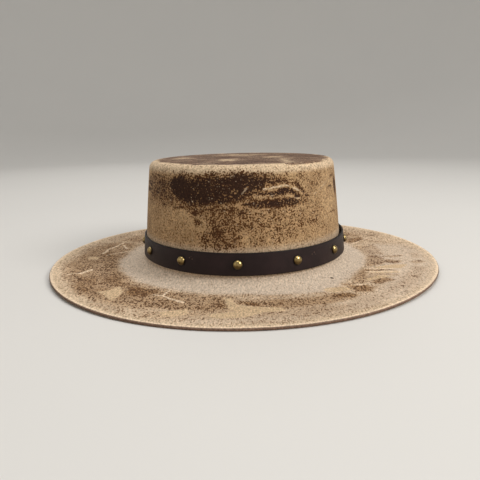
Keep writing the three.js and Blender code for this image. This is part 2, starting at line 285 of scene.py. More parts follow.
# Smooth pale patches on the brim's top, with clean edges.
BRIM_PATCHES = [
    # corners (x, y)
    [(-93, -91), (-90, -97), (-87, -108), (-88, -120), (-91, -127), (-96, -119), (-101, -111),
     (-107, -106), (-99, -102), (-96, -98)],
    [(-53, -152), (-45, -148), (-37, -146), (-35, -156), (-42, -160), (-52, -160)],
    [(-14, -125), (-9, -124), (-7, -134), (-2, -141), (8, -144.5), (24, -148), (26, -154), (10, -156),
     (-4, -154), (-10, -149), (-11, -138)],
    [(-24, -158), (-10, -154), (5, -153), (12, -158), (0, -164), (-18, -165)],
    [(-142, 3), (-132, 4), (-131, -8), (-140, -6)],
    [(60, -106), (74, -105), (76, -112), (62, -118), (56, -113)],
    [(100, -65), (122, -67), (121, -72), (101, -70)],
    [(92, -84), (104, -77), (117, -79), (110, -83), (98, -86), (93, -93)],
    [(108, -51), (124, -45), (136, -48), (126, -58), (108, -57)],
    [(-68, 122), (-58, 124), (-52, 136), (-60, 142), (-70, 134)],
    [(88, 100), (96, 92), (102, 98), (92, 110)],
    [(4, 142), (14, 140), (20, 148), (8, 153)],
]
# Zones of the brim that are paler and less speckled than the rest.
BRIM_PALE = [
    # strength, fade, corners (x, y)
    (0.9, 9, [(104, -20), (112, 14), (128, 34), (150, 24), (158, 0), (156, -50), (136, -96), (104, -132),
              (70, -152), (62, -142), (86, -124), (104, -96), (112, -60)]),
    (0.5, 9, [(62, -142), (70, -152), (30, -170), (-30, -172), (-40, -164), (20, -156)]),
]
# How far out the smooth zone round the band reaches, by the angle from the wearer's left.
CHALK_REACH = [
    # degrees, reach
    (-180, 23), (-150, 20.5), (-135, 18.5), (-120, 15.5), (-95, 12.5), (-72, 21), (-59, 28), (-44, 20),
    (-29, 18), (0, 21), (90, 21), (180, 21),
]

# The tip, charted the same way: the edge of its patina, and places where it is darker or paler.
TIP_PATINA = [
    (-73, 10), (-70, -28), (-60, -48), (-46, -60), (-39, -76), (-12, -84), (18, -86), (46, -80),
    (62, -62), (72, -30), (76, 10), (67, 52), (42, 82), (0, 93), (-42, 82), (-67, 52),
]
TIP_MARKS = [
    # strength (below 0 where it is paler), fade, corners (x, y)
    (-0.36, 4, [(-20, -40), (-5, -41), (-3, -28), (-6, -12), (-18, -14)]),
    (-0.35, 3, [(32, -84), (38, -70), (39, -16), (34, -16), (31, -50)]),
    (-0.45, 6, [(-60, 22), (-44, 20), (-44, 8), (-60, 8)]),
    (-0.4, 6, [(20, 12), (36, 12), (36, -2), (20, -2)]),
    (-0.24, 8, [(-34, 46), (4, 34), (30, 52), (-4, 66)]),
    (0.4, 6, [(-54, -40), (-36, -38), (-34, -58), (-50, -58)]),
    (0.45, 6, [(-34, -62), (20, -62), (16, -78), (-28, -76)]),
    (0.35, 6, [(6, -68), (26, -70), (26, -12), (8, -10)]),
    (0.4, 9, [(-48, 30), (-20, 20), (10, 12), (14, -4), (-30, 0)]),
    (0.35, 9, [(40, 40), (60, 20), (58, -4), (44, 0)]),
]

# Creases: fine raised folds that are rubbed pale. Distances to them count along the axes given here, so
# those of the brim are measured level.
ALL_AXES = (1, 1, 1)
LEVEL_AXES = (1, 1, 0)
WALL_CREASES = [
    # strength, points (along, height)
    (1.0, [(15, 72.3), (23, 73.5), (34, 74), (43, 71), (53, 65)]),
    (0.85, [(-6.5, 63.3), (3, 65.7), (18, 67.9), (31, 66.9), (46, 64.6)]),
    (0.5, [(-6, 63), (-1.5, 68.3), (3.4, 74)]),
    (0.4, [(62, 66), (73, 69), (84, 75)]),
    (0.7, [(-196, 72), (-184, 75.5), (-172, 74)]),
    (0.6, [(166, 74), (180, 76.5), (190, 74)]),
]
BRIM_CREASES = [
    # strength, points (x, y)
    (1.0, [(-127, -43), (-130, -50), (-132.5, -56), (-141, -62)]),
    (1.0, [(-53, -104), (-54, -109), (-57, -118.5)]),
    (1.0, [(-64, -116), (-57, -118.5), (-50, -126), (-40, -134)]),
    (1.0, [(-121, 62), (-126, 45), (-131, 30), (-132, 14)]),
    (1.0, [(-108, 24), (-116, 17), (-126, 7)]),
    (0.9, [(-120, 50), (-113, 34)]),
    (0.75, [(96, -66), (108, -66.5), (122, -68)]),
    (0.6, [(98, -56), (110, -57.5), (121, -59)]),
    (0.8, [(73, -96), (78, -101), (86, -101), (93, -100)]),
    (0.7, [(127, 58), (118, 48), (107, 38)]),
    (0.45, [(104, -77), (118, -77)]),
    (0.7, [(-80, 116), (-72, 126), (-64, 130)]),
    (0.6, [(64, 118), (76, 122), (88, 116)]),
]

# Single dark specks on the brim and nicks in the strap.
BRIM_DOTS = [
    # x, y, z, radius
    (67, -83, 2.8, 1.6), (-75, -53, 4, 1.4), (-71, -52, 5, 1.3), (60, 96, 3, 1.5),
]
STRAP_NICKS = [
    # along, height above the strap's middle, radius
    (-43, 3.2, 0.7), (-40.5, 2.4, 0.6), (-41.5, 4.2, 0.4), (55.5, 2.2, 0.6), (58, 3.2, 0.7), (59.5, 1.6, 0.4),
    (186, -3, 0.7), (-172, 2, 0.6),
]


class Wire:
    """A node's output that can be used in a Python expression."""

    def __init__(self, socket):
        self.socket = socket

    def math(self, operation, *others):
        return add_node("ShaderNodeMath", {"operation": operation}, dict(enumerate((self, *others))))

    def __rsub__(self, other):
        return add_node("ShaderNodeMath", {"operation": "SUBTRACT"}, {0: other, 1: self})

    def __neg__(self):
        return 0 - self

    def step(self, low, high, out_low=0.0, out_high=1.0):
        """Goes smoothly from out_low to out_high as the value goes from low to high."""
        values = {"Value": self, "From Min": low, "From Max": high, "To Min": out_low, "To Max": out_high}
        return add_node("ShaderNodeMapRange", {"interpolation_type": "SMOOTHSTEP"}, values)

    def split(self):
        """The three parts of a vector."""
        first = add_node("ShaderNodeSeparateXYZ", {}, {0: self})
        return [Wire(socket) for socket in first.socket.node.outputs]


for method, operation in {
    "__add__": "ADD", "__radd__": "ADD", "__sub__": "SUBTRACT", "__mul__": "MULTIPLY",
    "__rmul__": "MULTIPLY", "__truediv__": "DIVIDE", "__pow__": "POWER", "__mod__": "FLOORED_MODULO",
    "__abs__": "ABSOLUTE", "most": "MAXIMUM", "least": "MINIMUM", "whole": "ROUND", "root": "SQRT",
    "exp": "EXPONENT", "cos": "COSINE", "sin": "SINE",
}.items():
    setattr(Wire, method, functools.partialmethod(Wire.math, operation))


def plug(socket, value):
    """Links a wire to a socket, or else sets the socket to a plain value."""
    if isinstance(value, Wire):
        socket.id_data.links.new(value.socket, socket)
    else:
        socket.default_value = value


def add_node(kind, settings=None, values=None, output=0, tree=None):
    """Adds a node with its settings first and then its sockets' values or links.

    Where no tree is given, it goes into the tree of the wires among its values."""
    values = values or {}
    if tree is None:
        tree = next(value.socket.id_data for value in values.values() if isinstance(value, Wire))
    made = tree.nodes.new(kind)
    for name, value in (settings or {}).items():
        setattr(made, name, value)
    for key, value in values.items():
        plug(find_socket(made.inputs, key), value)
    return Wire(find_socket(made.outputs, output))


def find_socket(sockets, key):
    if isinstance(key, int):
        return sockets[key]
    return next(socket for socket in sockets if key in (socket.identifier, socket.name))


def vector_math(operation, *values, output=0):
    return add_node("ShaderNodeVectorMath", {"operation": operation}, dict(enumerate(values)), output)


def scaled(vector, factor):
    return add_node("ShaderNodeVectorMath", {"operation": "SCALE"}, {0: vector, "Scale": factor})


def added(*vectors):
    return functools.reduce(functools.partial(vector_math, "ADD"), vectors)


def strongest(wires):
    return functools.reduce(Wire.most, wires)


def combine(x, y, z):
    return add_node("ShaderNodeCombineXYZ", {}, {0: x, 1: y, 2: z})


def blend(factor, first, second, mode="MIX"):
    """Mixes two colours, each a wire or three numbers."""
    values = {"Factor_Float": factor}
    for key, value in (("A_Color", first), ("B_Color", second)):
        values[key] = value if isinstance(value, Wire) else (*value, 1)
    settings = {"data_type": "RGBA", "blend_type": mode}
    return add_node("ShaderNodeMix", settings, values, "Result_Color")


def layered(base, *layers):
    """Lays colours over a base one after the other, each by its factor."""
    for factor, tone in layers:
        base = blend(factor, base, tone)
    return base


def cloud(place, scale, detail=2.0, roughness=0.5, seed=0.0):
    """Noise with features about 1 / scale long. The seed moves it along its fourth axis."""
    values = {"Vector": place, "W": seed, "Scale": scale, "Detail": detail, "Roughness": roughness}
    return add_node("ShaderNodeTexNoise", {"noise_dimensions": "4D"}, values)


def stretched(place, x, y, z):
    return vector_math("MULTIPLY", place, (x, y, z))


def specks(grain, cover, gain=2.75, edge=0.07):
    """Specks that cover about the given share, where a noise passes a threshold."""
    return ((grain - 0.5) * gain + cover - 0.5).step(-edge, edge)


def dots(place, rows):
    """A value of 1 on small round marks, each its place in millimetres and its radius."""
    return strongest(
        vector_math("DISTANCE", place, row[:3], output="Value").step(row[3], row[3] * 0.6) for row in rows
    )


def attribute(tree, name):
    return add_node("ShaderNodeAttribute", {"attribute_name": name}, output="Fac", tree=tree)


def new_material(name):
    """An empty material: its tree, its shader node and its Object coordinates in millimetres."""
    material = bpy.data.materials.new(name)
    material.use_nodes = True
    tree = material.node_tree
    tree.nodes.clear()
    shader = tree.nodes.new("ShaderNodeBsdfPrincipled")
    surface = tree.nodes.new("ShaderNodeOutputMaterial")
    tree.links.new(shader.outputs[0], surface.inputs[0])
    place = add_node("ShaderNodeTexCoord", output="Object", tree=tree)
    return material, tree, shader, scaled(place, 1 / MM)


def connect(shader, **sockets):
    for name, value in sockets.items():
        plug(shader.inputs[name.replace("_", " ")], value)


def bumped(height, depth, strength):
    """A normal for a relief whose height goes from 0 to 1 over the given depth."""
    return add_node("ShaderNodeBump", {}, {"Strength": strength, "Distance": depth, "Height": height})


def new_geometry_tree(name, inputs):
    """A Geometry Nodes tree with a geometry input and one for each named number."""
    tree = bpy.data.node_groups.new(name, "GeometryNodeTree")
    tree.interface.new_socket("Geometry", in_out="INPUT", socket_type="NodeSocketGeometry")
    for label, value in inputs.items():
        kind = "NodeSocketInt" if isinstance(value, int) else "NodeSocketFloat"
        tree.interface.new_socket(label, in_out="INPUT", socket_type=kind)
    tree.interface.new_socket("Geometry", in_out="OUTPUT", socket_type="NodeSocketGeometry")
    source = tree.nodes.new("NodeGroupInput")
    return tree, {socket.name: Wire(socket) for socket in source.outputs if socket.name}


def end_geometry_tree(geometry, material):
    """Ends a tree with smooth shading, realized instances and the material, and returns it."""
    for kind, values in (
        ("GeometryNodeSetShadeSmooth", {}),
        ("GeometryNodeRealizeInstances", {}),
        ("GeometryNodeSetMaterial", {"Material": material}),
    ):
        geometry = add_node(kind, {}, {"Geometry": geometry, **values})
    tree = geometry.socket.id_data
    plug(tree.nodes.new("NodeGroupOutput").inputs[0], geometry)
    return tree


def new_object(name, data):
    made = bpy.data.objects.new(name, data)
    bpy.context.scene.collection.objects.link(made)
    return made


def grown_piece(name, mesh, tree, inputs):
    """Runs a Geometry Nodes tree on a mesh and returns an object with the plain mesh it makes."""
    source = new_object(name + "_source", mesh)
    modifier = source.modifiers.new(name, "NODES")
    modifier.node_group = tree
    for item in tree.interface.items_tree:
        if item.in_out == "INPUT" and item.name in inputs:
            modifier[item.identifier] = inputs[item.name]
    evaluated = source.evaluated_get(bpy.context.evaluated_depsgraph_get())
    plain = bpy.data.meshes.new_from_object(evaluated)
    plain.name = name
    bpy.data.objects.remove(source)
    bpy.data.meshes.remove(mesh)
    if not plain.polygons:
        raise RuntimeError(f"{name} came out empty")
    with edited(plain) as body:
        bmesh.ops.recalc_face_normals(body, faces=body.faces)
    return new_object(name, plain)


@contextlib.contextmanager
def edited(mesh):
    """A mesh's faces and edges for editing, written back to it at the end."""
    body = bmesh.new()
    body.from_mesh(mesh)
    yield body
    body.to_mesh(mesh)
    body.free()


def settle(piece, slot, *nodes):
    """Ties a finished piece to the frame: it hides the nodes that the piece takes the place of, and rides on
    the root.
    """
    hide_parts(*nodes)
    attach(piece, "root")


def mesh_of_points(name, points, path=()):
    """A mesh of loose points, followed by a path's points joined by edges."""
    first = len(points)
    edges = [(first + i, first + i + 1) for i in range(len(path) - 1)]
    mesh = bpy.data.meshes.new(name)
    mesh.from_pydata([*points, *path], edges, [])
    return mesh


def lattice(tree, columns, rows):
    """A flat grid of points, with each point's whole column and row number."""
    sizes = {"Size X": 1.0, "Size Y": 1.0, "Vertices X": columns, "Vertices Y": rows}
    grid = add_node("GeometryNodeMeshGrid", {}, sizes, tree=tree)
    across, up, _ = add_node("GeometryNodeInputPosition", tree=tree).split()
    return grid, ((across + 0.5) * (columns - 1)).whole(), ((up + 0.5) * (rows - 1)).whole()


def section_point(tree, points, row):
    """The three values of the point with that number."""
    place = add_node("GeometryNodeInputPosition", tree=tree)
    settings = {"data_type": "FLOAT_VECTOR", "domain": "POINT"}
    values = {"Geometry": points, "Value": place, "Index": row}
    return add_node("GeometryNodeSampleIndex", settings, values).split()


def stored(geometry, name, value):
    """Keeps a number at each point, for the material or for later work on the mesh."""
    settings = {"data_type": "FLOAT", "domain": "POINT"}
    values = {"Geometry": geometry, "Name": name, "Value": value}
    return add_node("GeometryNodeStoreNamedAttribute", settings, values)


def placed(grid, position):
    """Moves the grid's points and joins those that meet."""
    moved = add_node("GeometryNodeSetPosition", {}, {"Geometry": grid, "Position": position})
    return add_node("GeometryNodeMergeByDistance", {}, {"Geometry": moved, "Distance": JOINED})


class Hat:
    """The hat's form in metres, worked out from the frame and the settings."""

    def __init__(self, scene):
        self.felt = scene.hat_felt
        self.band = scene.hat_band
        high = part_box("felt_body")[1]
        self.half_width = high.x - self.felt.brim_width
        self.half_length = high.y - self.felt.brim_width
        self.tip = high.z
        self.flare_top = self.felt.thickness + self.felt.flare_rise
        self.band_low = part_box("hat_band")[0].z
        self.band_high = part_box("hat_band")[1].z
        self.turns = np.linspace(-math.pi, math.pi, ROUND_STEPS + 1)
        x, y = self.oval(FRONT + self.turns, self.wall_out((self.flare_top + self.tip) / 2))
        steps = np.hypot(np.diff(x), np.diff(y))
        self.along = np.concatenate([[0], np.cumsum(steps)]) - steps.sum() / 2

    def oval(self, angle, out):
        return (self.half_width + out) * np.cos(angle), (self.half_length + out) * np.sin(angle)

    def wall_out(self, height):
        """Where the wall stands at a height, as a distance outside the oval at its foot."""
        rise = (height - self.flare_top) / (self.tip - self.flare_top)
        bow = self.felt.wall_bow
        return -self.felt.wall_lean * ((1 - bow) * rise + bow * rise * rise)

    def on_wall(self, along, height):
        """The place on the crown's wall at a distance along it from the front."""
        angle = FRONT + np.interp(along, self.along, self.turns)
        x, y = self.oval(angle, self.wall_out(height))
        return Vector((x, y, height))

    def along_at(self, angle):
        """The distance along the crown's wall from the front to an angle."""
        turned = np.mod(angle - FRONT + math.pi, 2 * math.pi) - math.pi
        return np.interp(turned, self.turns, self.along)

    def section(self):
        """Points down the felt's outer face, round the rim and back up its inner face.

        Each is its distance outside the oval, its share of the way out from the middle of the tip,
        and its height. The number of points up to the middle of the rim comes with them."""
        felt = self.felt
        outer = self.face(0, tip_rings=22, shoulder=8, wall=54, flare=18, brim=46)
        inner = self.face(felt.thickness, tip_rings=5, shoulder=4, wall=12, flare=8, brim=12)
        rim = []
        middle = felt.thickness / 2
        for i in range(RIM_STEPS + 1):
            angle = math.pi / 2 - math.pi * i / RIM_STEPS
            out = felt.brim_width - felt.rim_radius * (1 - math.cos(angle))
            rim.append((out, 1, middle + middle * math.sin(angle)))
        return outer + rim + inner[::-1], len(outer) + RIM_STEPS // 2

    def face(self, depth, tip_rings, shoulder, wall, flare, brim):
        """One face of the felt from the middle of the tip to just short of the rim."""
        felt = self.felt
        edge = self.tip - felt.shoulder
        edge_out = self.wall_out(edge) - felt.shoulder
        radius = felt.shoulder - depth
        points = [(edge_out, i / tip_rings, self.tip - depth) for i in range(tip_rings)]
        for i in range(shoulder + 1):
            angle = math.pi / 2 * (1 - i / shoulder)
            points.append((edge_out + radius * math.cos(angle), 1, edge + radius * math.sin(angle)))
        for i in range(1, wall):
            height = edge + (self.flare_top - edge) * i / wall
            points.append((self.wall_out(height) - depth, 1, height))
        for i in range(flare + 1):
            angle = math.pi / 2 * i / flare
            out = felt.flare_reach - (felt.flare_reach + depth) * math.cos(angle)
            points.append((out, 1, self.flare_top - (felt.flare_rise + depth) * math.sin(angle)))
        last = felt.brim_width - felt.rim_radius
        for i in range(1, brim):
            out = felt.flare_reach + (last - felt.flare_reach) * i / brim
            points.append((out, 1, felt.thickness - depth))
        return points

    def band_path(self):
        """Points along the strap's outer face, from behind the hat round the front and past it.

        The lengths of the path up to the front and of one whole round come with them."""
        band = self.band
        out = self.wall_out((self.band_low + self.band_high) / 2) + band.gap + band.leather
        reach = int(ROUND_STEPS * PATH_REACH)
        angles = FRONT + np.arange(-reach, reach + 1) * 2 * math.pi / ROUND_STEPS
        x = band.slack / 2 + (self.half_width + band.slack / 2 + out) * np.cos(angles)
        y = (self.half_length + out) * np.sin(angles)
        steps = np.hypot(np.diff(x), np.diff(y))
        path = [(a, b, 0) for a, b in zip(x, y)]
        return path, steps[:reach].sum(), steps[:ROUND_STEPS].sum()


def felt_tree(rows, outer_rows, columns, inputs, material):
    """Sweeps the section around the oval, lifts the rim's sides and makes the brim a little uneven."""
    tree, value = new_geometry_tree("Blocked felt", inputs)
    grid, column, row = lattice(tree, columns + 1, rows)
    out, spread, height = section_point(tree, value["Geometry"], row)
    grid = stored(grid, "out", out)
    grid = stored(grid, "outer", row.step(outer_rows + 1, outer_rows - 1))
    angle = column * (2 * math.pi / columns)
    x = spread * (value["Half Width"] + out) * angle.cos()
    y = spread * (value["Half Length"] + out) * angle.sin()

    reach, width = value["Flare Reach"], value["Brim Width"]
    start = reach + (width - reach) * value["Lift Start"]
    lift = value["Side Lift"] * angle.cos() ** 2 * out.step(start, width)
    slow = cloud(combine(angle.cos(), angle.sin(), out * 14), 1.3, detail=2.0, seed=3.2)
    wave = slow.step(0.25, 0.75) * value["Waviness"] * out.step(reach, width)
    return end_geometry_tree(placed(grid, combine(x, y, height + lift + wave)), material)


def soft_step(low, high, value):
    risen = np.clip((value - low) / (high - low), 0, 1)
    return risen * risen * (3 - 2 * risen)


def depth_inside(corners, across, up):
    """How far inside an outline each place lies, and below 0 how far outside it."""
    corners = np.array(corners, float)
    nearest = np.full(across.shape, np.inf)
    inside = np.zeros(across.shape, bool)
    for (x, y), (next_x, next_y) in zip(corners, np.roll(corners, -1, axis=0)):
        dx, dy = next_x - x, next_y - y
        on = np.clip(((across - x) * dx + (up - y) * dy) / (dx * dx + dy * dy), 0, 1)
        nearest = np.minimum(nearest, np.hypot(across - x - on * dx, up - y - on * dy))
        if dy:
            inside ^= ((y > up) != (next_y > up)) & (across < x + (up - y) * dx / dy)
    return np.where(inside, nearest, -nearest)


def shaded(rows, across, up):
    """The strongest of the soft-edged shapes at each place."""
    total = np.zeros_like(across)
    for strength, fade, corners in rows:
        total = np.maximum(total, strength * soft_step(-fade, fade, depth_inside(corners, across, up)))
    return total


def spotted(rows, across, up):
    """The strongest of the soft oval spots at each place."""
    total = np.zeros_like(across)
    for x, y, half_long, half_high, strength in rows:
        far = np.hypot((across - x) / half_long, (up - y) / half_high)
        total = np.maximum(total, strength * soft_step(1.5, 0.5, far))
    return total


def wobble(places, size, seed):
    """Smooth noise between about -1 and 1 at each place, with features about size long."""
    shift = Vector((seed * 7.3, seed * -3.1, seed * 5.7))
    return np.array([noise.noise(Vector(place) / size + shift) for place in places])


REFINED_REACH = 3 * MM
RIDGE = (0.4 * MM, 0.9 * MM)  # height and width
SWELL = (0.3 * MM, 3.5 * MM)


def crease_segments(hat):
    """Every crease as its strength, start and end in metres, and the axes that its distance counts on."""
    runs = [(s, ALL_AXES, [hat.on_wall(a * MM, h * MM) for a, h in points]) for s, points in WALL_CREASES]
    runs += [(s, LEVEL_AXES, [Vector((x, y, 0)) * MM for x, y in points]) for s, points in BRIM_CREASES]
    return [(s, start, end, axes) for s, axes, run in runs for start, end in zip(run, run[1:])]


def distance_to(places, start, end, axes):
    start, end = np.array(start), np.array(end)
    line = end - start
    places = places * axes
    on = np.clip((places - start) @ line / (line @ line), 0, 1)
    return np.linalg.norm(places - start - on[:, None] * line, axis=1)


def values_at(points, name, width):
    """What each point of a mesh says under a name, as rows of numbers."""
    values = np.zeros(len(points) * width)
    points.foreach_get(name, values)
    return values.reshape(-1, width)


def places_of(mesh):
    return values_at(mesh.vertices, "co", 3)


def normals_of(mesh):
    return values_at(mesh.vertex_normals, "vector", 3)


def kept(mesh, name):
    """The numbers that the tree stored at the mesh's points."""
    return values_at(mesh.attributes[name].data, "value", 1)[:, 0]


def on_top(mesh):
    """Which points belong to the felt's outer face."""
    return kept(mesh, "outer") > 0.5


def refine_creases(mesh, segments):
    """Cuts the faces near the creases finer, so that the creases can stand in the mesh."""
    places = places_of(mesh)
    near = np.zeros(len(places), bool)
    for _, *line in segments:
        near |= distance_to(places, *line) < REFINED_REACH
    near &= on_top(mesh)
    with edited(mesh) as body:
        body.verts.ensure_lookup_table()
        edges = [e for e in body.edges if near[e.verts[0].index] and near[e.verts[1].index]]
        bmesh.ops.subdivide_edges(body, edges=edges, cuts=2, use_grid_fill=True)
        bmesh.ops.triangulate(body, faces=[f for f in body.faces if len(f.verts) > 4])


def raise_creases(mesh, segments):
    """Raises a fine ridge on a broad low swell along each crease."""
    places = places_of(mesh)
    normals = normals_of(mesh)
    total = 0
    for height, width in (RIDGE, SWELL):
        part = np.zeros(len(places))
        for strength, *line in segments:
            part = np.maximum(part, strength * np.exp(-(distance_to(places, *line) / width) ** 2))
        total = total + height * part
    mesh.vertices.foreach_set("co", (places + normals * (total * on_top(mesh))[:, None]).ravel())


NO_PATCH = -5  # millimetres inside a patch, where there is none
# How far noise moves the edges of the charted shapes, in millimetres.
RAGGED_WALL = (3.2, 2.2)
RAGGED_WASH = 2.5
RAGGED_PATCH = 0.8
RAGGED_TIP = 5
RAGGED_MARKS = 4
SLOW, COARSE, FINE = 42 * MM, 11 * MM, 4 * MM  # sizes of that noise


def mark_felt(hat, mesh):
    """Stores at each point of the felt how strongly each stain, rub and zone shows there, where painted shade
    darkens the rim's cut edge, and where painted highlight partly lightens its top corner.
    """
    places = places_of(mesh)
    out = kept(mesh, "out") / MM
    top = on_top(mesh).astype(float)
    x, y, z = places.T / MM
    tip, brim_width = hat.tip / MM, hat.felt.brim_width / MM
    slow = wobble(places, SLOW, 5)
    ragged_a, ragged_b = (wobble(places, COARSE, i) + 0.6 * wobble(places, FINE, i + 1) for i in (1, 3))

    angle = np.arctan2(y / hat.half_length, x / hat.half_width)
    along = hat.along_at(angle) / MM + RAGGED_WALL[0] * ragged_a
    height = z + RAGGED_WALL[1] * ragged_b
    foot = hat.flare_top / MM
    on_wall = top * soft_step(foot, foot + 4, z) * soft_step(tip, tip - 4, z)
    burn = np.maximum(shaded(WALL_BURNS + HIDDEN_BURNS, along, height), spotted(WALL_SPOTS, along, height))

    on_brim = top * soft_step(8, 14, out)
    wash_x, wash_y = x + RAGGED_WASH * ragged_a, y + RAGGED_WASH * ragged_b
    patch = np.full_like(x, NO_PATCH)
    for corners in BRIM_PATCHES:
        depth = depth_inside(corners, x + RAGGED_PATCH * ragged_a, y + RAGGED_PATCH * ragged_b)
        patch = np.maximum(patch, depth)

    on_tip = top * (z > tip - 1.5)
    tip_x, tip_y = x + RAGGED_TIP * ragged_a, y + RAGGED_TIP * ragged_b
    patina = 0.85 * soft_step(-3.5, 3.5, depth_inside(TIP_PATINA, tip_x, tip_y))
    covered = patina > 0.3
    for strength, fade, corners in TIP_MARKS:
        depth = depth_inside(corners, tip_x + RAGGED_MARKS * ragged_b, tip_y)
        patina = patina + covered * strength * soft_step(-fade, fade, depth)

    degrees, reach = zip(*CHALK_REACH)
    chalk_end = np.interp(np.degrees(angle), degrees, reach) + 2 * slow + 1.5 * ragged_a
    chalk = soft_step(chalk_end + 6, chalk_end - 3, out) * soft_step(-2, 1, out)
    band_top = hat.band_high / MM
    over_band = 0.45 * soft_step(band_top + 6, band_top + 1, z) * (out < 2)
    rim_start = brim_width - 11 - 4 * slow
    marks = {
        "burn": burn * on_wall,
        "wash": shaded(BRIM_WASHES + HIDDEN_WASHES, wash_x, wash_y) * on_brim,
        "pale": shaded(BRIM_PALE, wash_x, wash_y) * on_brim,
        "patch": np.where(on_brim > 0.5, patch, NO_PATCH),
        "patina": np.clip(patina, 0, 1.2) * on_tip,
        "chalk": top * np.maximum(chalk, over_band),
        "rim": top * soft_step(rim_start, rim_start + 7, out),
        "ledge": top * soft_step(7, 3, np.abs(z - tip + 1)) * (out < 0) * (1 - on_tip * patina),
        "brim": soft_step(0, 16, out),
        # The rim's cut edge, which painted shade darkens.
        "edge": soft_step(brim_width - 0.7, brim_width - 0.3, out),
        # lip: a pale line along the rim's top corner, partly rubbed felt and partly painted highlight.
        "lip": top * soft_step(brim_width - 3, brim_width - 1.5, out),
        "level": soft_step(0.5, 0.9, np.abs(normals_of(mesh)[:, 2])),
    }
    for name, values in marks.items():
        data = mesh.attributes.new(name, "FLOAT", "POINT").data
        data.foreach_set("value", np.asarray(values, np.float32))


CREASE_WIDTH = {ALL_AXES: 0.95, LEVEL_AXES: 1.71}  # how far its pale line reaches, in millimetres


def crease_line(place, segments):
    """A value of 1 on the creases that falls to 0 beside them, from distances to their segments."""
    places = {axes: vector_math("MULTIPLY", place, axes) for axes in CREASE_WIDTH}
    lines = []
    for strength, start, end, axes in segments:
        line = (end - start) / MM
        from_start = vector_math("SUBTRACT", places[axes], start / MM)
        on = vector_math("DOT_PRODUCT", from_start, line / line.length_squared, output="Value")
        miss = vector_math("SUBTRACT", from_start, scaled(line, on.most(0).least(1)))
        far = vector_math("LENGTH", miss, output="Value")
        lines.append(far.step(CREASE_WIDTH[axes], CREASE_WIDTH[axes] * 0.3, 0.0, strength))
    return strongest(lines)


